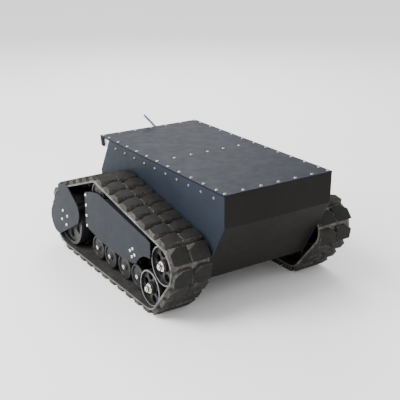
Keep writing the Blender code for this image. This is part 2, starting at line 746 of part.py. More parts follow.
def deck_frame():
    """Welded ladder of bars under the deck, slotted for the deck's and the panels' screws."""
    half, start, end = PANEL_OUTER - SHEET - GAP, FRONT_ROW_INSET - RAIL_WIDTH / 2, REAR_LIP_START
    top = DECK_TOP - DECK_THICKNESS - GAP
    inner, middle = half - RAIL_WIDTH, DECK_LENGTH / 2
    outline = [(-half, y_of(start)), (half, y_of(start)), (half, y_of(end)), (inner, y_of(end)),
               (inner, y_of(middle + RAIL_WIDTH / 2)), (-inner, y_of(middle + RAIL_WIDTH / 2)),
               (-inner, y_of(end)), (-half, y_of(end))]
    opening = [(-inner, y_of(start + RAIL_WIDTH)), (inner, y_of(start + RAIL_WIDTH)),
               (inner, y_of(middle - RAIL_WIDTH / 2)), (-inner, y_of(middle - RAIL_WIDTH / 2))]
    frame = add(flat_mesh("deck_frame", [outline, opening], RAIL_HEIGHT), "deck_frame",
                "rail_aluminium", Matrix.Translation((0, 0, top - RAIL_HEIGHT / 2)))
    boolean(frame, add(joined("slots", slot_tools(top)), "slots"), "DIFFERENCE")


def slot_tools(top):
    """Blocks that cut the slots: down into each bar, and into each long bar's outer side."""
    slot, reach = SLOT_WIDTH / 2, RAIL_X + SLOT_WIDTH / 2
    floor, over = top - SLOT_DEPTH, top + 0.001
    first, last = FRONT_ROW_INSET + RAIL_WIDTH, REAR_LIP_START - 0.004
    side_z = DECK_TOP - SIDE_SCREW_DROP
    tools = []
    for side in (-1, 1):
        tools.append(block(side * (RAIL_X - slot), side * reach, first, last, floor, over))
        tools.append(block(side * (RAIL_X + slot + 0.001), side * PANEL_OUTER, first, last,
                           side_z - slot, side_z + slot))
    row = FRONT_ROW_INSET
    tools.append(block(-reach, reach, row - slot, row + slot, floor, over))
    row = DECK_LENGTH / 2
    tools.append(block(-RAIL_X + RAIL_WIDTH, RAIL_X - RAIL_WIDTH, row - slot, row + slot,
                       floor, over))
    return tools


def block(x0, x1, u0, u1, z0, z1):
    """A block between these limits, with its matrix, for joined()."""
    low = (min(x0, x1), y_of(u0), z0)
    return box_mesh("block", low, (max(x0, x1), y_of(u1), z1)), Matrix.Identity(4)


def rear_lip():
    """Bar behind the hull under the deck's overhang, with a raked rear face."""
    top = DECK_TOP - DECK_THICKNESS - GAP
    row, slot = DECK_LENGTH - FRONT_ROW_INSET, SLOT_WIDTH / 2
    start, low = REAR_LIP_START + GAP, top - RAIL_HEIGHT
    section = [(start, low), (LIP_REAR[0], low), (LIP_REAR[1], top), (row + slot, top),
               (row + slot, top - SLOT_DEPTH), (row - slot, top - SLOT_DEPTH),
               (row - slot, top), (start, top)]
    add(flat_mesh("rear_lip", [section], 2 * PANEL_OUTER), "rear_lip", "deck_paint",
        side_matrix(0))


def drive_housing():
    """Square tube behind the hull, between the frame plates, around both gear motors."""
    u, z = SPROCKET
    outer = [(u - HOUSING_HALF, z - HOUSING_HALF), (u + HOUSING_HALF, z - HOUSING_HALF),
             (u + HOUSING_HALF, z + HOUSING_HALF), (u - HOUSING_HALF, z + HOUSING_HALF)]
    inner_half = HOUSING_HALF - SHEET
    inner = [(u - inner_half, z - inner_half), (u + inner_half, z - inner_half),
             (u + inner_half, z + inner_half), (u - inner_half, z + inner_half)]
    width = 2 * (FRAME_INNER - GAP)
    side_plate("drive_housing", "black_paint", [outer, inner], -width / 2, width, 1)


def gear_motor(name, side):
    """Gearbox against the frame plate, with the motor can behind it."""
    step, end, chamfer = -GEARBOX_LENGTH, -GEARBOX_LENGTH - MOTOR_LENGTH, 0.005
    profile = [(0, 0), (GEARBOX_RADIUS, 0), (GEARBOX_RADIUS, step), (MOTOR_RADIUS, step),
               (MOTOR_RADIUS, end + chamfer), (MOTOR_RADIUS - chamfer, end), (0, end)]
    add(turned_mesh(name, profile, 20, closed=False), name, "cast_grey",
        outward(side, SPROCKET, FRAME_INNER - 3 * GAP), smooth=True)


def battery_pack():
    floor = FLOOR_Z + SHEET + GAP
    width, length, height = BATTERY
    low = (-width / 2, y_of(BATTERY_U - length / 2), floor)
    high = (width / 2, y_of(BATTERY_U + length / 2), floor + height)
    add(box_mesh("battery_pack", low, high), "battery_pack", "battery_wrap")


def motor_controller():
    """Drive electronics box with a finned lid."""
    floor = FLOOR_Z + SHEET + GAP
    width, length, height = CONTROLLER
    u0, u1, top = CONTROLLER_U - length / 2, CONTROLLER_U + length / 2, floor + height
    root, step = top - FIN_HEIGHT, length / (2 * FIN_COUNT - 1)
    section = [(u0, floor), (u1, floor)]
    for k in range(FIN_COUNT):
        right = u1 - 2 * k * step
        section += [(right, root), (right, top), (right - step, top), (right - step, root)]
    del section[2], section[-1]
    add(flat_mesh("motor_controller", [section], width), "motor_controller", "cast_grey",
        side_matrix(0))


def antenna():
    """Swivel base on the hull's rear face, and the whip leaning to the vehicle's right."""
    u, z = ANTENNA_PIVOT
    face = HULL_REAR + GAP
    stub = u - face - ANTENNA_FOOT - GAP
    base = turned_mesh("antenna_base", [(0, stub), (0.007, stub), (0.009, 0.002), (0.009, 0),
                                        (0, 0)], 12, closed=False)
    rearward = Matrix.Rotation(-math.pi / 2, 4, "X")
    add(base, "antenna_base", "black_paint",
        Matrix.Translation((ANTENNA_X, y_of(face), z)) @ rearward, smooth=True)
    foot, tip = ANTENNA_FOOT, ANTENNA_LENGTH
    profile = [(0, tip), (ANTENNA_RADIUS * 0.7, tip), (ANTENNA_RADIUS, 0.060), (foot, 0.055),
               (foot, -0.008), (0, -0.008)]
    whip = turned_mesh("antenna_whip", profile, 12, closed=False)
    lean = Matrix.Rotation(-ANTENNA_LEAN, 4, "Y")
    add(whip, "antenna_whip", "antenna_grey", Matrix.Translation((ANTENNA_X, y_of(u), z)) @ lean,
        smooth=True)


# ---------------------------------------------------------------- assembly

def build_hull():
    hull_pan()
    side_panel("side_panel_right", -1)
    side_panel("side_panel_left", 1)
    deck_plate()
    deck_frame()
    rear_lip()
    drive_housing()
    gear_motor("gear_motor_right", -1)
    gear_motor("gear_motor_left", 1)
    battery_pack()
    motor_controller()
    antenna()


def build_track(end, side):
    """All the pieces of one track; end is the word that closes their names."""
    track_belt(f"track_belt_{end}", side)
    sprocket(f"sprocket_{end}", side)
    drive_shaft(f"drive_shaft_{end}", side)
    spoked_wheel(f"idler_wheel_{end}", side, IDLER, IDLER_RADIUS)
    spoked_wheel(f"front_wheel_{end}", side, FRONT_WHEEL, FRONT_WHEEL_RADIUS)
    top_wheel(f"top_wheel_{end}", side)
    tensioner(f"tensioner_{end}", side)
    start = FRAME_INNER + FRAME_THICKNESS + GAP
    wheel_axle(f"idler_axle_{end}", side, IDLER, start + GAP)
    wheel_axle(f"front_axle_{end}", side, FRONT_WHEEL, start)
    for spot, centre in zip(("front", "rear"), BOGIE_CENTRES):
        bogie(f"bogie_{spot}_{end}", side, centre)
        for k, shift in enumerate((-BOGIE_HALF_BASE, BOGIE_HALF_BASE)):
            road_wheel(f"road_wheel_{spot}_{k + 1}_{end}", side, (centre + shift, ROAD_WHEEL_Z))
    track_frame(f"track_frame_{end}", side)
    side_cover(f"side_cover_{end}", side)
    rear_guard(f"rear_guard_{end}", side)
    outboard_bearing(f"outboard_bearing_{end}", side)
    for k, place in enumerate(guard_screw_places()):
        guard_screw(f"guard_screw_{k + 1}_{end}", side, place)


clear_scene()
make_materials()
build_hull()
build_track("right", -1)
build_track("left", 1)
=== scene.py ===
"""Looks of the tracked tank chassis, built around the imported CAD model.

Metres, +Z up, the front faces -Y and +X is the vehicle's left side. Sizes that aren't read
from the frame are named at the top.
"""
import json
import math

import bmesh
import bpy
from mathutils import Matrix, Vector


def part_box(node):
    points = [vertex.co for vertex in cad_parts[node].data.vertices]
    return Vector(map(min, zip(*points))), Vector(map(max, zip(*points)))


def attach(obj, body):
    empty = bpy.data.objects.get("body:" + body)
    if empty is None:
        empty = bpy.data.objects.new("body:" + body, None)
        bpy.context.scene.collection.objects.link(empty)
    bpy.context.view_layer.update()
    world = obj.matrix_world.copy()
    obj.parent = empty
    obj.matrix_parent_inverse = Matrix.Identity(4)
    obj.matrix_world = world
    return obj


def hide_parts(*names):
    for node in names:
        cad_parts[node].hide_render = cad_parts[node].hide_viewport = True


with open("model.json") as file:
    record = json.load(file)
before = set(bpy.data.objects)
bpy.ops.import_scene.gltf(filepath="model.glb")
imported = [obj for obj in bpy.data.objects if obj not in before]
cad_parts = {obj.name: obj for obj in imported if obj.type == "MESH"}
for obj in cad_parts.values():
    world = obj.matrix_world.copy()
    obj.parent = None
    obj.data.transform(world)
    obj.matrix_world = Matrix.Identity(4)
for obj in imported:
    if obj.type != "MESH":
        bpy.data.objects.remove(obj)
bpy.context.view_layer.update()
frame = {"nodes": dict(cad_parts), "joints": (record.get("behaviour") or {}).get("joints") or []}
JOINTS = {joint["name"]: joint for joint in frame["joints"]}
MM = 0.001
ROUNDING_STEPS = 3

# Belt
LUG_COUNT = 34
CARCASS = 6 * MM
LUG_HEIGHT = 16 * MM
LUG_BASE = 44 * MM
LUG_TOP = 38 * MM
TIP_LENGTH = 25 * MM              # of a lug's narrow outboard end, along the belt
TIP_SLANT = 26 * MM               # across the belt, from that end to the lug's full length
BELT_FACET = math.radians(12)     # the CAD belt's bends have flats of this angle
TOUCH_GAP = 0.3 * MM              # the CAD's gap between pieces that touch
SAMPLES_PER_LUG = 14

# Screws
SCREW_PITCH = 60 * MM
SIDE_SCREWS = 11
DECK_SIDE_INSET = 8.6 * MM        # from the deck's side edge to its row of screws
DECK_END_INSET = 10.3 * MM        # from the deck's front or rear edge
PANEL_ROW_DROP = 21 * MM          # from the deck's top to the side panels' row
COVER_EDGE_INSET = 10 * MM        # from the side cover's rear edge to its row
COVER_ROW = (139.5 * MM, 173 * MM, 206.5 * MM, 240 * MM)
COVER_BOSS = (263 * MM, 154.5 * MM)   # behind the deck's front, and above the ground
COVER_BOSS_RADIUS = 13 * MM
HEAD_RADIUS = 4.9 * MM
HEAD_HEIGHT = 3.0 * MM
SOCKET_RADIUS = 1.9 * MM
SHANK_RADIUS = 2.35 * MM

# Wheels
GROOVE_HALF = 16 * MM             # half of the groove that the belt's horns run in
AXLE_BORE = 9.4 * MM
SPINDLE_ROOM = 4 * MM             # a road wheel's spindle stands out this far
ROAD_WHEEL_HALF = 30 * MM
LIGHTENING_HOLES = 6

# Camera, solved from the photograph
CAMERA_PLACE = (-1.2402, -1.8875, 1.0364)
CAMERA_TURN = (math.radians(69.76), 0, math.radians(-33.63))
CAMERA_LENS = 68.8

DECK_LOW, DECK_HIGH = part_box("deck_plate")
SIDES = {"right": -1, "left": 1}


# ---------------------------------------------------------------- mesh helpers

def finished(bm, name, angle=32.0):
    """The bmesh as a mesh, normals out, smooth but sharp where faces meet at an angle."""
    bmesh.ops.recalc_face_normals(bm, faces=bm.faces)
    mesh = bpy.data.meshes.new(name)
    bm.to_mesh(mesh)
    bm.free()
    mesh.shade_smooth()
    mesh.set_sharp_from_angle(angle=math.radians(angle))
    return mesh


def piece(name, mesh, body, materials, replaces=(), matrix=None):
    """One visible piece that rides on a CAD body."""
    obj = bpy.data.objects.new(name, mesh)
    bpy.context.scene.collection.objects.link(obj)
    if matrix is not None:
        obj.matrix_world = matrix
    if not mesh.materials:
        for material in materials:
            mesh.materials.append(material)
    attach(obj, body)
    if replaces:
        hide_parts(*replaces)
    return obj


def bevel(obj, width, segments=2, angle=30.0):
    modifier = obj.modifiers.new("edge", "BEVEL")
    modifier.width = width
    modifier.segments = segments
    modifier.limit_method = "ANGLE"
    modifier.angle_limit = math.radians(angle)
    modifier.use_clamp_overlap = True
    modifier.harden_normals = True
    return obj


def lathe(bm, profile, steps, matrix=None, closed=True, material=0, marks=()):
    """Adds a solid turned about local Z from (radius, height) points, outer side first.

    An open profile starts and ends on the axis. marks are the profile's stretches, by their
    first point, that take material 1.
    """
    matrix = matrix or Matrix.Identity(4)
    rings = []
    for radius, height in profile:
        if radius < 1e-7:
            rings.append([bm.verts.new(matrix @ Vector((0, 0, height)))])
            continue
        rings.append([bm.verts.new(matrix @ Vector((radius * math.cos(2 * math.pi * k / steps),
                                                    radius * math.sin(2 * math.pi * k / steps),
                                                    height))) for k in range(steps)])
    pairs = list(zip(rings, rings[1:]))
    if closed:
        pairs.append((rings[-1], rings[0]))
    for index, (first, second) in enumerate(pairs):
        for k in range(steps):
            after = (k + 1) % steps
            corners = [first[k % len(first)], first[after % len(first)],
                       second[after % len(second)], second[k % len(second)]]
            unique = list(dict.fromkeys(corners))
            if len(unique) > 2:
                face = bm.faces.new(unique)
                face.material_index = 1 if index in marks else material


def rounded(points, radius):
    """A profile whose corners, all but its two ends, are rounded in ROUNDING_STEPS steps."""
    result = [points[0]]
    for before, here, after in zip(points, points[1:], points[2:]):
        a, b, c = Vector(before), Vector(here), Vector(after)
        reach = min(radius, (a - b).length * 0.45, (c - b).length * 0.45)
        start, end = b + (a - b).normalized() * reach, b + (c - b).normalized() * reach
        for k in range(ROUNDING_STEPS + 1):
            t = k / ROUNDING_STEPS
            point = start * (1 - t) ** 2 + b * 2 * t * (1 - t) + end * t ** 2
            result.append((point.x, point.y))
    result.append(points[-1])
    return result


def flat(name, outlines, thickness):
    """A flat piece in local XY, centred on z = 0: an edge outline and then its holes."""
    curve = bpy.data.curves.new(name, "CURVE")
    curve.dimensions = "2D"
    curve.fill_mode = "BOTH"
    curve.extrude = thickness / 2
    for outline in outlines:
        spline = curve.splines.new("POLY")
        spline.points.add(len(outline) - 1)
        for point, (a, b) in zip(spline.points, outline):
            point.co = (a, b, 0, 1)
        spline.use_cyclic_u = True
    obj = bpy.data.objects.new(name, curve)
    bpy.context.scene.collection.objects.link(obj)
    bpy.context.view_layer.update()
    mesh = bpy.data.meshes.new_from_object(obj.evaluated_get(
        bpy.context.evaluated_depsgraph_get()))
    bpy.data.objects.remove(obj)
    mesh.materials.clear()
    return mesh


def ring(radius, count, turn=0.0, centre=(0.0, 0.0)):
    return [(centre[0] + radius * math.cos(turn + 2 * math.pi * k / count),
             centre[1] + radius * math.sin(turn + 2 * math.pi * k / count))
            for k in range(count)]


def outward(side, x, y, z):
    """Local Z along the track's outward direction, with the origin at this point."""
    return Matrix.Translation((x, y, z)) @ Matrix.Rotation(side * math.pi / 2, 4, "Y")


def place_of(joint_name):
    """(y, z) of a wheel's axis."""
    _, y, z = JOINTS[joint_name]["pos_m"]
    return y, z


# ---------------------------------------------------------------- material helpers

class Nodes:
    """A Principled material with short calls for the nodes that feed it."""

    def __init__(self, name, roughness=0.5, metallic=0.0, specular=0.5):
        self.material = bpy.data.materials.new(name)
        self.material.use_nodes = True
        self.tree = self.material.node_tree
        self.shader = self.tree.nodes["Principled BSDF"]
        self.shader.inputs["Roughness"].default_value = roughness
        self.shader.inputs["Metallic"].default_value = metallic
        self.shader.inputs["Specular IOR Level"].default_value = specular
        self.place = self.tree.nodes.new("ShaderNodeTexCoord").outputs["Object"]

    def new(self, kind, **values):
        node = self.tree.nodes.new(kind)
        for key, value in values.items():
            setattr(node, key, value)
        return node

    def link(self, source, target):
        self.tree.links.new(source, target)

    def stretched(self, scale):
        """The object's own coordinates, scaled on each axis."""
        mapping = self.new("ShaderNodeMapping")
        mapping.inputs["Scale"].default_value = scale
        self.link(self.place, mapping.inputs["Vector"])
        return mapping.outputs["Vector"]

    def noise(self, scale, detail=4.0, roughness=0.55, stretch=None):
        node = self.new("ShaderNodeTexNoise")
        node.inputs["Scale"].default_value = scale
        node.inputs["Detail"].default_value = detail
        node.inputs["Roughness"].default_value = roughness
        self.link(self.stretched(stretch) if stretch else self.place, node.inputs["Vector"])
        return node.outputs["Fac"]

    def ramp(self, source, *stops):
        """A colour ramp from (position, grey or colour) stops."""
        node = self.new("ShaderNodeValToRGB")
        elements = node.color_ramp.elements
        while len(elements) < len(stops):
            elements.new(0.5)
        for element, (position, value) in zip(elements, stops):
            element.position = position
            element.color = (value, value, value, 1) if isinstance(value, float) else (*value, 1)
        self.link(source, node.inputs["Fac"])
        return node.outputs["Color"]

    def mix(self, factor, first, second):
        node = self.new("ShaderNodeMix", data_type="RGBA")
        for socket, value in ((node.inputs[0], factor), (node.inputs[6], first),
                              (node.inputs[7], second)):
            if isinstance(value, bpy.types.NodeSocket):
                self.link(value, socket)
            elif isinstance(value, float):
                socket.default_value = value
            else:
                socket.default_value = (*value, 1)
        return node.outputs[2]

    def product(self, first, second):
        node = self.new("ShaderNodeMath", operation="MULTIPLY")
        self.link(first, node.inputs[0])
        if isinstance(second, float):
            node.inputs[1].default_value = second
        else:
            self.link(second, node.inputs[1])
        return node.outputs[0]

    def upward(self, start, end):
        """0 to 1 as the surface turns from this slope to that: 1 is level and faces up."""
        geometry = self.new("ShaderNodeNewGeometry")
        split = self.new("ShaderNodeSeparateXYZ")
        self.link(geometry.outputs["Normal"], split.inputs[0])
        span = self.new("ShaderNodeMapRange")
        span.inputs["From Min"].default_value = start
        span.inputs["From Max"].default_value = end
        self.link(split.outputs["Z"], span.inputs["Value"])
        return span.outputs["Result"]

    def colour(self, source):
        self.link(source, self.shader.inputs["Base Color"])

    def rough(self, source, low, high):
        span = self.new("ShaderNodeMapRange")
        span.inputs["To Min"].default_value = low
        span.inputs["To Max"].default_value = high
        self.link(source, span.inputs["Value"])
        self.link(span.outputs["Result"], self.shader.inputs["Roughness"])

    def bump(self, *layers):
        """Bump from (height, distance in metres, strength) layers, one on another."""
        before = None
        for height, distance, strength in layers:
            node = self.new("ShaderNodeBump")
            node.inputs["Distance"].default_value = distance
            node.inputs["Strength"].default_value = strength
            self.link(height, node.inputs["Height"])
            if before is not None:
                self.link(before, node.inputs["Normal"])
            before = node.outputs["Normal"]
        self.link(before, self.shader.inputs["Normal"])


def powder_coat(name, colour, dust, roughness=(0.42, 0.60), specular=0.08):
    """Fine-textured powder coat with cloudy tone, rub marks and a film of dust."""
    n = Nodes(name, specular=specular)
    dark = [c * 0.86 for c in colour]
    light = [c * 1.12 for c in colour]
    tone = n.mix(n.ramp(n.noise(7.0, 5.0), (0.35, 0.0), (0.68, 1.0)), dark, light)
    rubs = n.ramp(n.noise(26.0, 6.0, 0.7, stretch=(1.0, 0.22, 1.0)), (0.60, 0.0), (0.72, 0.35))
    tone = n.mix(rubs, tone, [min(1.0, c * 1.7) for c in colour])
    film = n.product(n.ramp(n.noise(11.0, 8.0, 0.66), (0.40, 0.10), (0.75, 0.75)),
                     n.upward(-0.2, 1.0))
    tone = n.mix(n.product(film, dust), tone, (0.20, 0.195, 0.185))
    n.colour(tone)
    n.rough(n.noise(38.0, 5.0), *roughness)
    n.bump((n.noise(1500.0, 2.0), 0.06 * MM, 0.5), (n.noise(420.0, 3.0), 0.05 * MM, 0.5))
    return n.material


def rubber(name, colour, dust_colour, dust, height=0.25):
    """Moulded rubber with a matte skin, fine scuffs and dry dust in its texture."""
    n = Nodes(name, specular=0.16)
    cloudy = n.ramp(n.noise(24.0, 8.0, 0.68), (0.30, 0.0), (0.72, 1.0))
    specks = n.ramp(n.noise(160.0, 5.0, 0.72), (0.38, 0.15), (0.66, 1.0))
    base = n.mix(n.ramp(n.noise(60.0, 4.0), (0.3, 0.0), (0.7, 1.0)), colour,
                 [c * 1.7 for c in colour])
    n.colour(n.mix(n.product(n.product(cloudy, specks), dust), base, dust_colour))
    n.rough(cloudy, 0.62, 0.92)
    n.bump((n.noise(900.0, 3.0), 0.12 * MM, 0.5), (n.noise(110.0, 4.0), height * MM, 0.45))
    return n.material


def moulded(name, colour, roughness=(0.30, 0.5), dust=0.25):
    """Satin black moulding with faint turning marks, scuffs and dust."""
    n = Nodes(name, specular=0.3)
    scuff = n.ramp(n.noise(90.0, 8.0, 0.7), (0.52, 0.0), (0.70, 1.0))
    base = n.mix(n.product(scuff, 0.5), colour, [c * 3.0 + 0.01 for c in colour])
    film = n.product(n.ramp(n.noise(35.0, 6.0, 0.6), (0.45, 0.0), (0.75, 1.0)), dust)
    n.colour(n.mix(film, base, (0.20, 0.18, 0.15)))
    n.rough(n.noise(55.0, 5.0), *roughness)
    n.bump((n.noise(700.0, 3.0), 0.05 * MM, 0.35))
    return n.material


def metal(name, colour, roughness=(0.18, 0.34), brushed=(1.0, 1.0, 1.0), stain=(0.35, 0.30, 0.24)):
    """Bare or plated metal with fine brushing and a little tarnish."""
    n = Nodes(name, metallic=1.0)
    lines = n.noise(900.0, 3.0, 0.6, stretch=brushed)
    tarnish = n.ramp(n.noise(150.0, 6.0, 0.65), (0.50, 0.0), (0.78, 0.8))
    n.colour(n.mix(tarnish, colour, stain))
    n.rough(lines, *roughness)
    n.bump((lines, 0.03 * MM, 0.3))
    return n.material


def wrap(name, colour):
    """Shrink wrap: glossy film with soft creases."""
    n = Nodes(name, roughness=0.25, specular=0.5)
    n.colour(n.mix(n.noise(9.0, 3.0), colour, [c * 1.5 for c in colour]))
    n.bump((n.noise(60.0, 4.0, stretch=(0.3, 1.0, 1.0)), 0.5 * MM, 0.6))
    return n.material


M = {
    "deck": powder_coat("deck_powder_coat", (0.0060, 0.0085, 0.0150), 0.010, (0.45, 0.63),
                        specular=0.064),
    "side": powder_coat("side_powder_coat", (0.0170, 0.0220, 0.0310), 0.020),
    "cover": powder_coat("cover_powder_coat", (0.0150, 0.0175, 0.0225), 0.045),
    "black": powder_coat("black_powder_coat", (0.008, 0.008, 0.009), 0.03, (0.40, 0.58)),
    # painted shade: the hull pan's near-black colour stands for the shade on its front face, which
    # faces away from the lamps
    "pan": powder_coat("pan_coat_painted_shade", (0.0075, 0.0068, 0.0062), 0.025, (0.42, 0.60)),
    "lug": rubber("lug_rubber", (0.0055, 0.0055, 0.0055), (0.060, 0.055, 0.048), 0.28),
    "lug_side": rubber("lug_side_rubber", (0.012, 0.012, 0.011), (0.17, 0.16, 0.145), 0.75),
    "valley": rubber("dusty_rubber", (0.035, 0.033, 0.030), (0.36, 0.34, 0.31), 0.90, 0.4),
    "edge": rubber("belt_edge_rubber", (0.06, 0.06, 0.058), (0.34, 0.33, 0.31), 0.70),
    "inner": rubber("belt_inner_rubber", (0.014, 0.014, 0.013), (0.12, 0.11, 0.10), 0.35),
    "wheel": moulded("wheel_black", (0.006, 0.006, 0.007), (0.38, 0.55), 0.12),
    # a lighter grey ring painted on the outboard rim's outer face and rounded outer corner
    "rim": moulded("light_rim_ring", (0.100, 0.108, 0.115), (0.28, 0.42), 0.3),
    "steel": metal("bright_steel", (0.72, 0.70, 0.67)),
    "screw": metal("screw_steel", (0.27, 0.27, 0.28), (0.24, 0.40)),
    "dull": metal("dull_screw_steel", (0.16, 0.16, 0.17), (0.36, 0.54)),
    "brass": metal("zinc_yellow_steel", (0.62, 0.50, 0.34), (0.22, 0.38)),
    "aluminium": metal("brushed_aluminium", (0.60, 0.61, 0.62), (0.28, 0.45),
                       (0.05, 1.0, 1.0), (0.42, 0.42, 0.41)),
    "cast": metal("cast_grey", (0.20, 0.20, 0.21), (0.42, 0.60), (1.0, 1.0, 1.0),
                  (0.12, 0.12, 0.12)),
    "wrap": wrap("battery_wrap", (0.020, 0.060, 0.150)),
    # painted shade: the screw sockets' near-black stands for the shade inside the recess in each
    # steel head
    "socket": moulded("socket_painted_shade", (0.006, 0.006, 0.006), (0.5, 0.7), 0.1),
    "antenna": moulded("antenna_sleeve", (0.20, 0.25, 0.34), (0.35, 0.5), 0.2),
}


# ---------------------------------------------------------------- carried-over CAD nodes

def dress(node, material, edge=0.0, segments=2):
    """A CAD node that keeps its shape: its material, and softened edges."""
    obj = frame["nodes"][node]
    obj.data.materials.clear()
    obj.data.materials.append(M[material])
    obj.data.polygons.foreach_set("material_index", [0] * len(obj.data.polygons))
    if edge:
        bevel(obj, edge, segments)


def dress_hull():
    dress("deck_plate", "deck", 0.9 * MM, 3)
    dress("side_panel_right", "side", 0.6 * MM)
    dress("side_panel_left", "side", 0.6 * MM)
    # the pan's near-black coat is painted shade on the hull's front face
    dress("hull_pan", "pan", 1.2 * MM, 3)
    dress("rear_lip", "deck", 0.6 * MM)
    dress("deck_frame", "aluminium", 0.4 * MM)
    dress("drive_housing", "black", 1.5 * MM, 3)
    dress("battery_pack", "wrap", 6 * MM, 4)
    dress("motor_controller", "cast", 0.5 * MM)
    dress("gear_motor_right", "cast", 0.5 * MM)
    dress("gear_motor_left", "cast", 0.5 * MM)


def dress_track(end):
    dress(f"track_frame_{end}", "black", 0.5 * MM)
    dress(f"side_cover_{end}", "cover", 0.6 * MM)
    dress(f"rear_guard_{end}", "cover", 0.6 * MM)
    dress(f"outboard_bearing_{end}", "cast", 0.8 * MM)
    dress(f"tensioner_{end}", "cast", 0.6 * MM)
    dress(f"drive_shaft_{end}", "steel", 0.4 * MM)
    for spot in ("front", "rear"):
        dress(f"bogie_{spot}_{end}", "black", 0.8 * MM)


# ---------------------------------------------------------------- screws

def screw_head(bm, matrix):
    """Button head with a hexagon socket, standing on local z = 0; the socket's walls and floor
    take material 1, painted shade.
    """
    dome = [(HEAD_RADIUS, 0.0), (HEAD_RADIUS, 0.35 * MM), (HEAD_RADIUS * 0.93, 1.1 * MM),
            (HEAD_RADIUS * 0.78, 2.0 * MM), (HEAD_RADIUS * 0.58, HEAD_HEIGHT * 0.96),
            (SOCKET_RADIUS * 1.18, HEAD_HEIGHT)]
    steps = 24
    rings = []
    for radius, height in dome:
        rings.append([bm.verts.new(matrix @ Vector((radius * math.cos(2 * math.pi * k / steps),
                                                    radius * math.sin(2 * math.pi * k / steps),
                                                    height))) for k in range(steps)])
    for depth in (HEAD_HEIGHT, HEAD_HEIGHT - 1.7 * MM):
        corner = []
        for k in range(steps):
            angle = 2 * math.pi * k / steps
            across = (angle + math.pi / 6) % (math.pi / 3) - math.pi / 6
            radius = SOCKET_RADIUS * math.cos(math.pi / 6) / math.cos(across)
            corner.append(bm.verts.new(matrix @ Vector((radius * math.cos(angle),
                                                        radius * math.sin(angle), depth))))
        rings.append(corner)
    for index, (first, second) in enumerate(zip(rings, rings[1:])):
        for k in range(steps):
            after = (k + 1) % steps
            face = bm.faces.new((first[k], first[after], second[after], second[k]))
            face.material_index = 1 if index == len(rings) - 2 else 0
    floor = bm.faces.new(rings[-1])
    floor.material_index = 1
    bm.faces.new(rings[0][::-1])


def shank(bm, matrix, length):
    radius = SHANK_RADIUS
    lathe(bm, [(0, 0.2 * MM), (radius, 0.2 * MM), (radius, -length + 0.6 * MM),
               (radius * 0.8, -length), (0, -length)][::-1], 12, matrix, closed=False)


def screws(name, matrices, length, replaces=(), steel="screw"):
    """Screws fixed to the hull or the track frames, as one piece."""
    bm = bmesh.new()
    for index, matrix in enumerate(matrices):
        turned = matrix @ Matrix.Rotation(index * 1.9, 4, "Z")
        screw_head(bm, turned)
        shank(bm, turned, length)
    piece(name, finished(bm, name), "chassis", [M[steel], M["socket"]], replaces)


def deck_screws():
    """Rows along the deck's four edges and one across its middle."""
    top, length = DECK_HIGH.z, DECK_HIGH.y - DECK_LOW.y
    rail = DECK_HIGH.x - DECK_SIDE_INSET
    first = DECK_LOW.y + (length - SCREW_PITCH * (SIDE_SCREWS - 1)) / 2
    spots = [(side * rail, first + SCREW_PITCH * k)
             for side in (-1, 1) for k in range(SIDE_SCREWS)]
    across = [rail * k / 3 for k in range(-3, 4)]
    ends = (DECK_LOW.y + DECK_END_INSET, DECK_HIGH.y - DECK_END_INSET)
    spots += [(x, y) for x in across for y in ends]
    spots += [(x, DECK_LOW.y + length / 2) for x in across[1:-1]]
    screws("deck_screws", [Matrix.Translation((x, y, top)) for x, y in spots], 11 * MM)


def panel_screws():
    """The row along the top edge of each side panel."""
    length = DECK_HIGH.y - DECK_LOW.y
    first = DECK_LOW.y + (length - SCREW_PITCH * (SIDE_SCREWS - 1)) / 2
    for end, side in SIDES.items():
        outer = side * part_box("side_panel_left")[1].x
        spots = [outward(side, outer, first + SCREW_PITCH * k, DECK_HIGH.z - PANEL_ROW_DROP)
                 for k in range(SIDE_SCREWS - 1)]
        screws(f"panel_screws_{end}", spots, 8 * MM, steel="dull")


def track_screws(end, side):
    """Screws of the side cover and of the rear guard."""
    low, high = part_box(f"side_cover_{end}")
    outer = side * max(abs(low.x), abs(high.x))
    boss = (DECK_LOW.y + COVER_BOSS[0], COVER_BOSS[1])
    spots = [outward(side, outer, y, z)
             for y, z in ring(COVER_BOSS_RADIUS, 4, math.radians(10), boss)]
    spots += [outward(side, outer, high.y - COVER_EDGE_INSET, z) for z in COVER_ROW]
    screws(f"cover_screws_{end}", spots, 3 * MM, steel="steel")
    nodes = [f"guard_screw_{k}_{end}" for k in (1, 2, 3, 4)]
    spots = []
    for node in nodes:
        low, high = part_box(node)
        middle = (low + high) / 2
        face = side * (max(abs(low.x), abs(high.x)) - HEAD_HEIGHT)
        spots.append(outward(side, face, middle.y, middle.z))
    screws(f"guard_screws_{end}", spots, 3 * MM, replaces=nodes, steel="steel")


# ---------------------------------------------------------------- belt

def belt_circles(end):
    """(y, z, radius) of the four wheels, at the belt's pitch line, in turning order."""
    def wheel(joint, node):
        y, z = place_of(f"{joint}_{end}")
        low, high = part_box(f"{node}_{end}")
        facets = (high.z - low.z) / 2 + TOUCH_GAP
        return y, z, facets / math.cos(BELT_FACET / 2) + CARCASS / 2
    y, z = place_of(f"sprocket_spin_{end}")
    low_y, low_z = place_of(f"front_wheel_spin_{end}")
    ground = LUG_HEIGHT + CARCASS / 2
    return [(y, z, z - ground), wheel("top_wheel_spin", "top_wheel"),
            wheel("idler_spin", "idler_wheel"), (low_y, low_z, low_z - ground)]


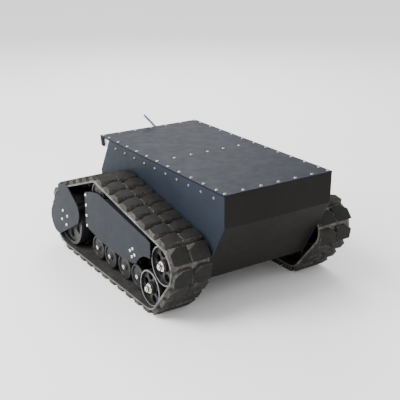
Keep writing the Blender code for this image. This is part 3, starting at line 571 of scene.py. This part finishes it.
def stretches(circles):
    """The loop as (circle, first angle, last angle, length of the straight after it)."""
    leave = []
    for (y0, z0, r0), (y1, z1, r1) in zip(circles, circles[1:] + circles[:1]):
        along = math.atan2(z1 - z0, y1 - y0)
        leave.append(along - math.pi / 2 + math.asin((r0 - r1) / math.hypot(y1 - y0, z1 - z0)))
    parts = []
    for k, (y, z, radius) in enumerate(circles):
        first, last = leave[k - 1], leave[k]
        while last < first:
            last += 2 * math.pi
        y1, z1, r1 = circles[(k + 1) % len(circles)]
        straight = math.sqrt((y1 - y) ** 2 + (z1 - z) ** 2 - (radius - r1) ** 2)
        parts.append(((y, z, radius), first, last, straight))
    return parts


class Belt:
    """Maps (distance along, across, height over the pitch line) to the row frame."""

    def __init__(self, end, side):
        self.parts = stretches(belt_circles(end))
        self.length = sum(c[2] * (last - first) + run for c, first, last, run in self.parts)
        self.pitch = self.length / LUG_COUNT
        low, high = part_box(f"track_belt_{end}")
        self.middle = (low.x + high.x) / 2
        self.half_width = (high.x - low.x) / 2 - 0.2 * MM
        self.side = side
        radius, first = self.parts[0][0][2], self.parts[0][1]
        teeth = round(2 * math.pi * radius / self.pitch)
        self.phase = radius * ((0.0 - first) % (2 * math.pi / teeth)) + self.pitch / 2

    def at(self, along, across, height):
        distance = along % self.length
        for (y, z, radius), first, last, run in self.parts:
            bend = radius * (last - first)
            if distance <= bend:
                angle = first + distance / radius
                reach = radius + height
                return Vector((self.middle + self.side * across, y + reach * math.cos(angle),
                               z + reach * math.sin(angle)))
            distance -= bend
            if distance <= run:
                c, s = math.cos(last), math.sin(last)
                reach = radius + height
                return Vector((self.middle + self.side * across,
                               y + reach * c - distance * s, z + reach * s + distance * c))
            distance -= run
        return self.at(0.0, across, height)

    def on_chord(self, start, point):
        """A lug's point, with the lug kept flat where the belt bends under it."""
        rise = min(1.0, max(0.0, (point.z - CARCASS / 2) / LUG_HEIGHT))
        half = (LUG_BASE + (LUG_TOP - LUG_BASE) * rise) / 2
        before, after = (self.at(start + end, point.y, point.z) for end in (-half, half))
        return before.lerp(after, (point.x + half) / (2 * half))


def carcass_section(half, thick):
    """(across, height) round the belt's section, with a bead on each edge."""
    top, low = thick / 2, -thick / 2
    right = [(half - 5 * MM, low), (half - 1.2 * MM, low), (half, low + 1.0 * MM),
             (half, -0.5 * MM), (half - 0.7 * MM, 0.0), (half, 0.5 * MM),
             (half, top - 1.0 * MM), (half - 1.2 * MM, top), (half - 5 * MM, top),
             (half - 6.5 * MM, top - 0.9 * MM)]
    left = [(-across, height) for across, height in right][::-1]
    return right + left


def add_carcass(bm, belt):
    half, count = belt.half_width, LUG_COUNT * SAMPLES_PER_LUG
    section = carcass_section(half, CARCASS)
    rings = []
    for k in range(count):
        along = belt.length * k / count
        rings.append([bm.verts.new(belt.at(along, a, h)) for a, h in section])
    for first, second in zip(rings, rings[1:] + rings[:1]):
        for j in range(len(section)):
            after = (j + 1) % len(section)
            face = bm.faces.new((first[j], second[j], second[after], first[after]))
            height = (section[j][1] + section[after][1]) / 2
            face.material_index = 3 if height < -1.5 * MM else 2 if height < 2.0 * MM else 1


def block(low, high, bevel_width, cuts=4):
    """A bevelled solid between two outlines of (along, across, height) points, cut along."""
    bm = bmesh.new()
    low = [bm.verts.new(c) for c in low]
    high = [bm.verts.new(c) for c in high]
    bm.faces.new(low[::-1])
    bm.faces.new(high)
    for k in range(len(low)):
        after = (k + 1) % len(low)
        bm.faces.new((low[k], low[after], high[after], high[k]))
    keep = [e for e in bm.edges if not all(v in low for v in e.verts)]
    bmesh.ops.bevel(bm, geom=keep, offset=bevel_width, segments=2, affect="EDGES",
                    profile=0.6, clamp_overlap=True)
    start = min(v.co.x for v in bm.verts)
    span = max(v.co.x for v in bm.verts) - start
    for k in range(1, cuts):
        bmesh.ops.bisect_plane(bm, geom=bm.verts[:] + bm.edges[:] + bm.faces[:],
                               plane_co=(start + span * k / cuts, 0, 0), plane_no=(1, 0, 0))
    return bm


def box_block(along, across, heights, taper, bevel_width, cuts):
    """A block between these limits whose top is drawn in by taper on every side."""
    (a0, a1), (b0, b1), (low_h, high_h) = along, across, heights
    low = [(a0, b0, low_h), (a1, b0, low_h), (a1, b1, low_h), (a0, b1, low_h)]
    high = [(a0 + taper, b0 + taper, high_h), (a1 - taper, b0 + taper, high_h),
            (a1 - taper, b1 - taper, high_h), (a0 + taper, b1 - taper, high_h)]
    return block(low, high, bevel_width, cuts=cuts)


def half_lug(outer, inner):
    """Half of a lug between these distances across: its outboard end runs to a point."""
    def outline(half, out, tip, back, height):
        return [(half, inner, height), (half, out, height), (half - tip, out, height),
                (-half, back, height), (-half, inner, height)]
    flare = LUG_BASE - LUG_TOP
    low = outline(LUG_BASE / 2, outer, TIP_LENGTH + flare, outer - TIP_SLANT + 4 * MM,
                  CARCASS / 2 - 0.8 * MM)
    high = outline(LUG_TOP / 2, outer - 1.5 * MM, TIP_LENGTH, outer - TIP_SLANT,
                   CARCASS / 2 + LUG_HEIGHT)
    return block(low, high, 1.2 * MM)


def lug_bridge():
    """Web that ties a lug's two halves together, a little under their tops."""
    half = LUG_BASE / 2 - 2 * MM
    return box_block((-half + 14 * MM, half), (-3 * MM, 3 * MM),
                     (CARCASS / 2 - 0.8 * MM, CARCASS / 2 + LUG_HEIGHT - 3.5 * MM), 1 * MM,
                     0.5 * MM, 4)


def horn():
    """Guide horn on the belt's inner face."""
    base, top, wide, narrow = 8.0 * MM, 5.4 * MM, 10.0 * MM, 7.0 * MM
    low_h, high_h = -CARCASS / 2 + 0.8 * MM, -CARCASS / 2 - 11 * MM
    low = [(-base, -wide, low_h), (base, -wide, low_h), (base, wide, low_h), (-base, wide, low_h)]
    high = [(-top, -narrow, high_h), (top, -narrow, high_h), (top, narrow, high_h),
            (-top, narrow, high_h)]
    return block(low, high, 1.6 * MM, cuts=2)


def tread_rib(start, end):
    """Thin raised bar between two lugs."""
    return box_block((-2.6 * MM, 2.6 * MM), (start, end),
                     (CARCASS / 2 - 0.5 * MM, CARCASS / 2 + 2.2 * MM), 1 * MM, 0.4 * MM, 2)


def add_copies(bm, source, belt, offset, top_material, wall_material):
    """The source's shape bent onto the belt at every pitch, from this share of a pitch."""
    bmesh.ops.recalc_face_normals(source, faces=source.faces)
    source.verts.ensure_lookup_table()
    points = [v.co.copy() for v in source.verts]
    faces = [([v.index for v in f.verts],
              top_material if abs(f.normal.z) > 0.5 else wall_material) for f in source.faces]
    for k in range(LUG_COUNT):
        start = belt.phase + (k + offset) * belt.pitch
        verts = [bm.verts.new(belt.on_chord(start, p)) for p in points]
        for indices, material in faces:
            made = bm.faces.new([verts[i] for i in indices])
            made.material_index = material
    source.free()


def track_belt(end, side):
    belt = Belt(end, side)
    bm = bmesh.new()
    add_carcass(bm, belt)
    edge = belt.half_width
    add_copies(bm, half_lug(edge - 2.5 * MM, 1.2 * MM), belt, 0.5, 0, 4)
    add_copies(bm, half_lug(-1.2 * MM, -edge + 1.5 * MM), belt, 0.5, 0, 4)
    for start, end_of in ((8 * MM, 46 * MM), (-50 * MM, -10 * MM)):
        add_copies(bm, tread_rib(start, end_of), belt, 0.0, 1, 1)
    add_copies(bm, lug_bridge(), belt, 0.5, 2, 1)
    add_copies(bm, horn(), belt, 0.0, 3, 3)
    piece(f"rubber_track_{end}", finished(bm, "rubber_track", 38.0), "chassis",
          [M["lug"], M["valley"], M["edge"], M["inner"], M["lug_side"]], [f"track_belt_{end}"])


# ---------------------------------------------------------------- wheels

def wheel_solid(name, radius, half, groove, bore):
    """Twin-rim wheel: rims with a raised lip, a recessed web with holes, and a hub."""
    bm, steps = bmesh.new(), 72
    lip, web_out, web_in, hub = radius - 4.2 * MM, half - 9.0 * MM, half - 14.0 * MM, 17 * MM
    inner_hub = 22 * MM
    tyre = [(lip, half), (radius - 1.0 * MM, half), (radius, half - 1.2 * MM),
            (radius, groove + 0.8 * MM), (radius - 0.8 * MM, groove), (inner_hub, groove),
            (inner_hub, -groove), (radius - 0.8 * MM, -groove), (radius, -groove - 0.8 * MM),
            (radius, -half + 1.2 * MM), (radius - 1.0 * MM, -half), (lip, -half),
            (lip - 0.6 * MM, -half + 0.8 * MM), (lip - 1.2 * MM, -groove - 5 * MM),
            (bore, -groove - 5 * MM), (bore, groove + 4 * MM), (lip - 1.2 * MM, groove + 4 * MM),
            (lip - 0.6 * MM, half - 0.8 * MM)]
    # the marked stretches, the outboard rim's outer face and rounded corner, take the lighter grey
    # ring
    lathe(bm, tyre[::-1], steps, marks=(len(tyre) - 2, len(tyre) - 3))
    boss = [(bore, half - 0.6 * MM), (hub - 1.0 * MM, half - 0.6 * MM), (hub, half - 1.6 * MM),
            (hub + 1.5 * MM, web_in), (bore, web_in)]
    lathe(bm, boss[::-1], steps)
    web = flat(name + "_web", [ring(lip - 0.4 * MM, steps), ring(hub - 1 * MM, 32)]
               + [ring((lip - hub) * 0.36, 24, 0.0, place)
                  for place in ring((lip + hub) / 2, LIGHTENING_HOLES, math.radians(15))],
               web_out - web_in)
    web.transform(Matrix.Translation((0, 0, (web_out + web_in) / 2)))
    bm.from_mesh(web)
    bmesh.ops.remove_doubles(bm, verts=bm.verts, dist=1e-7)
    return finished(bm, name)


def spoked_wheel(name, end, side, body, joint):
    low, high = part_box(f"{name}_{end}")
    y, z = place_of(joint)
    middle = (low.x + high.x) / 2
    radius, half = (high.z - low.z) / 2, (high.x - low.x) / 2
    mesh = wheel_solid(name, radius, half, GROOVE_HALF, AXLE_BORE)
    obj = piece(f"{name}_spoked_{end}", mesh, body, [M["wheel"], M["rim"]],
                [f"{name}_{end}"], outward(side, middle, y, z))
    bevel(obj, 0.5 * MM, 2, 40.0)


def plain_wheel(name, side, body, joint, bore=0.0):
    """Twin-disc wheel with dished faces; without a bore it has its own spindle and bolt."""
    low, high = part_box(name)
    y, z = place_of(joint)
    radius = (high.z - low.z) / 2
    if bore:
        half, outer = (high.x - low.x) / 2, 0.0
    else:
        half, outer = ROAD_WHEEL_HALF, SPINDLE_ROOM
    groove, core = GROOVE_HALF, 24 * MM if bore else 7 * MM
    dish = half - 4 * MM
    hub = 13 * MM if bore else 11 * MM
    rim = radius - 6 * MM
    face = [(hub, half - 1 * MM), (hub + 2 * MM, dish), (rim - 2 * MM, dish), (rim, half),
            (radius - 1.2 * MM, half), (radius, half - 1.2 * MM), (radius, groove + MM),
            (radius - MM, groove), (core, groove)]
    back = [(r, -h) for r, h in face][::-1]
    bm = bmesh.new()
    if bore:
        profile = [(bore, half - 1 * MM)] + face + back + [(bore, -half + 1 * MM)]
        lathe(bm, profile[::-1], 64)
    else:
        profile = [(0, half - 1 * MM)] + face + back + [(0, -half + 1 * MM)]
        lathe(bm, profile[::-1], 64, closed=False)
        hex_prism(bm, 13 * MM, half - 2 * MM, half + SPINDLE_ROOM, material=1)
    middle = (low.x + high.x) / 2 - side * outer / 2
    piece(f"{name}_turned", finished(bm, name), body, [M["wheel"], M["steel"]],
          [name], outward(side, middle, y, z))


def hex_prism(bm, across, z0, z1, material=0):
    """Hexagon nut or bolt head about local Z, with chamfered corners."""
    corner = across / 2 / math.cos(math.pi / 6)
    steps, rings = 36, []
    chamfer = 0.13 * across / 2
    for height, limit in ((z0, corner), (z1 - chamfer * 0.6, corner), (z1, across / 2 * 0.97)):
        verts = []
        for k in range(steps):
            angle = 2 * math.pi * k / steps
            off = (angle + math.pi / 6) % (math.pi / 3) - math.pi / 6
            radius = min(across / 2 / math.cos(off), limit)
            verts.append(bm.verts.new((radius * math.cos(angle), radius * math.sin(angle),
                                       height)))
        rings.append(verts)
    faces = [bm.faces.new(rings[0][::-1]), bm.faces.new(rings[-1])]
    for first, second in zip(rings, rings[1:]):
        for k in range(steps):
            after = (k + 1) % steps
            faces.append(bm.faces.new((first[k], first[after], second[after], second[k])))
    for face in faces:
        face.material_index = material


def wheel_bolt(name, node, side, body, joint):
    """A wheel's axle with a washer, a nut and a domed thread end."""
    low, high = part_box(node)
    y, z = place_of(joint)
    start = side * min(abs(low.x), abs(high.x))
    length = high.x - low.x
    tip, nut, washer, crest = 2.5 * MM, 8 * MM, 3 * MM, 0.4 * MM
    bm = bmesh.new()
    body_end = length - tip - nut - washer
    seat = body_end + washer
    lathe(bm, [(0, 0), (9 * MM, 0), (9 * MM, body_end + 0.2 * MM), (0, body_end + 0.2 * MM)], 40,
          closed=False)
    lathe(bm, rounded([(0, body_end), (14 * MM, body_end), (14 * MM, seat - 0.4 * MM),
                       (0, seat - 0.4 * MM)], 0.5 * MM), 48, closed=False)
    lathe(bm, rounded([(0, seat - 0.5 * MM), (11.5 * MM, seat - 0.5 * MM),
                       (10.5 * MM, seat + 0.8 * MM), (0, seat + 0.8 * MM)], 0.4 * MM), 40,
          closed=False, material=1)
    hex_prism(bm, 16 * MM, seat + 0.7 * MM, seat + nut)
    end = length - tip
    thread = [(0, end - MM)]
    for k in range(6):
        thread += [(4.4 * MM, end + (k - 0.5) * crest), (4.9 * MM, end + k * crest)]
    thread += [(4.0 * MM, length), (0, length)]
    lathe(bm, thread, 32, closed=False)
    matrix = outward(side, start, y, z)
    piece(name, finished(bm, name), body, [M["steel"], M["brass"]], [node],
          matrix)


def sprocket(end, side):
    """Drum with a lightened web; the belt's horns run in the groove round its middle."""
    node = f"sprocket_{end}"
    low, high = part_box(node)
    y, z = place_of(f"sprocket_spin_{end}")
    radius, half, groove = (high.z - low.z) / 2, (high.x - low.x) / 2, GROOVE_HALF
    rim, hub, bore, floor = radius - 12 * MM, 30 * MM, 12.3 * MM, radius - 13.5 * MM
    web = half - 9 * MM
    outer = rounded([(hub - 2 * MM, half), (rim, half), (radius, half), (radius, groove),
                     (floor, groove)], 1.2 * MM)[1:]
    face = rounded([(bore, half), (hub, half), (hub + 3 * MM, web), (rim - 2 * MM, web),
                    (rim, half), (radius, half)], 1.2 * MM)[:-1]
    profile = face + outer[3:]
    profile += [(r, -h) for r, h in profile[::-1]]
    bm = bmesh.new()
    lathe(bm, profile[::-1], 96)
    drum = piece(f"sprocket_drum_{end}", finished(bm, "drum"), f"sprocket_drive_{end}",
                 [M["wheel"]], [node],
                 outward(side, (low.x + high.x) / 2, y, z))
    cutter = bmesh.new()
    for k in range(LIGHTENING_HOLES):
        turn = Matrix.Rotation(2 * math.pi * k / LIGHTENING_HOLES, 4, "Z")
        spot = turn @ Matrix.Translation(((rim + hub) / 2, 0, 0))
        for top, bottom in ((60 * MM, web - 6 * MM), (-web + 6 * MM, -60 * MM)):
            lathe(cutter, [(0, bottom), (15 * MM, bottom), (15 * MM, top), (0, top)], 32, spot,
                  closed=False)
    cut(drum, cutter)


def cut(obj, cutter_bm):
    """Cuts the cutter's shape out of obj's mesh for good."""
    cutter = bpy.data.objects.new("cutter", finished(cutter_bm, "cutter"))
    bpy.context.scene.collection.objects.link(cutter)
    cutter.matrix_world = obj.matrix_world
    modifier = obj.modifiers.new("cut", "BOOLEAN")
    modifier.object = cutter
    bpy.context.view_layer.update()
    mesh = bpy.data.meshes.new_from_object(obj.evaluated_get(
        bpy.context.evaluated_depsgraph_get()))
    obj.modifiers.remove(modifier)
    obj.data = mesh
    bpy.data.objects.remove(cutter)


# ---------------------------------------------------------------- antenna

def antenna():
    """Swivel base, and a sleeved whip with a cap. The whip is thicker than its CAD node."""
    low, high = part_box("antenna_base")
    middle = (low + high) / 2
    bm = bmesh.new()
    depth = high.y - low.y
    lathe(bm, rounded([(0, 0), (9 * MM, 0), (9 * MM, 2 * MM), (7.4 * MM, 2.6 * MM),
                       (7.0 * MM, depth), (0, depth)], 0.5 * MM), 40, closed=False)
    base_matrix = Matrix.Translation((middle.x, low.y, middle.z)) @ Matrix.Rotation(
        -math.pi / 2, 4, "X")
    piece("antenna_swivel", finished(bm, "antenna_swivel"), "chassis",
          [M["black"]], ["antenna_base"], base_matrix)
    pivot = Vector(JOINTS["antenna_hinge"]["pos_m"])
    low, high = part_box("antenna_whip")
    lean = math.atan2(pivot.x - low.x, high.z - pivot.z)
    length = math.hypot(pivot.x - low.x, high.z - pivot.z) - 5 * MM
    bm = bmesh.new()
    lathe(bm, rounded([(0, -8 * MM), (3.1 * MM, -8 * MM), (3.1 * MM, 14 * MM),
                       (3.8 * MM, 20 * MM), (3.8 * MM, length - 12 * MM),
                       (3.4 * MM, length - 10 * MM), (3.4 * MM, length - 1 * MM),
                       (0, length)], 0.8 * MM), 32, closed=False)
    piece("antenna_sleeved_whip", finished(bm, "whip"), "antenna",
          [M["antenna"]], ["antenna_whip"],
          Matrix.Translation(pivot) @ Matrix.Rotation(-lean, 4, "Y"))


# ---------------------------------------------------------------- assembly

def build_track(end, side):
    dress_track(end)
    track_belt(end, side)
    sprocket(end, side)
    spoked_wheel("idler_wheel", end, side, f"idler_{end}", f"idler_spin_{end}")
    spoked_wheel("front_wheel", end, side, f"front_roller_{end}", f"front_wheel_spin_{end}")
    wheel_bolt(f"idler_bolt_{end}", f"idler_axle_{end}", side, f"idler_slide_{end}",
               f"idler_spin_{end}")
    wheel_bolt(f"front_bolt_{end}", f"front_axle_{end}", side, "chassis",
               f"front_wheel_spin_{end}")
    plain_wheel(f"top_wheel_{end}", side, f"top_roller_{end}", f"top_wheel_spin_{end}",
                AXLE_BORE)
    for spot in ("front", "rear"):
        for k in (1, 2):
            wheel = f"{spot}_{k}_{end}"
            plain_wheel(f"road_wheel_{wheel}", side, f"road_roller_{wheel}",
                        f"road_wheel_spin_{wheel}")
    track_screws(end, side)


def studio():
    """Pale floor, soft lights and the camera."""
    floor_mesh = bmesh.new()
    bmesh.ops.create_grid(floor_mesh, x_segments=1, y_segments=1, size=30)
    floor = bpy.data.objects.new("floor", finished(floor_mesh, "floor"))
    bpy.context.scene.collection.objects.link(floor)
    n = Nodes("pale_floor", roughness=0.9, specular=0.1)
    n.colour(n.mix(n.noise(0.6, 2.0), (0.90, 0.90, 0.90), (0.94, 0.94, 0.94)))
    floor.data.materials.append(n.material)
    world = bpy.data.worlds.new("studio")
    bpy.context.scene.world = world
    world.use_nodes = True
    background = world.node_tree.nodes["Background"]
    background.inputs["Color"].default_value = (1.0, 1.0, 1.0, 1)
    background.inputs["Strength"].default_value = 1.5
    area("key", (-2.4, 0.2, 3.2), (0, 0, 0.2), 2.2, 170)
    area("side", (-3.2, 1.2, 1.4), (0, 0, 0.25), 1.8, 70)
    area("rear", (1.6, 2.8, 2.6), (0, 0.1, 0.3), 2.0, 80)
    camera = bpy.data.objects.new("camera", bpy.data.cameras.new("camera"))
    bpy.context.scene.collection.objects.link(camera)
    camera.data.sensor_width = 36
    camera.data.lens = CAMERA_LENS
    camera.data.clip_end = 100
    camera.location = CAMERA_PLACE
    camera.rotation_euler = CAMERA_TURN
    bpy.context.scene.camera = camera


def area(name, place, target, size, power):
    light = bpy.data.objects.new(name, bpy.data.lights.new(name, "AREA"))
    bpy.context.scene.collection.objects.link(light)
    light.data.shape = "DISK"
    light.data.size = size
    light.data.energy = power
    light.location = place
    direction = Vector(target) - Vector(place)
    light.rotation_euler = direction.to_track_quat("-Z", "Y").to_euler()


dress_hull()
deck_screws()
panel_screws()
antenna()
for END, SIDE in SIDES.items():
    build_track(END, SIDE)
studio()
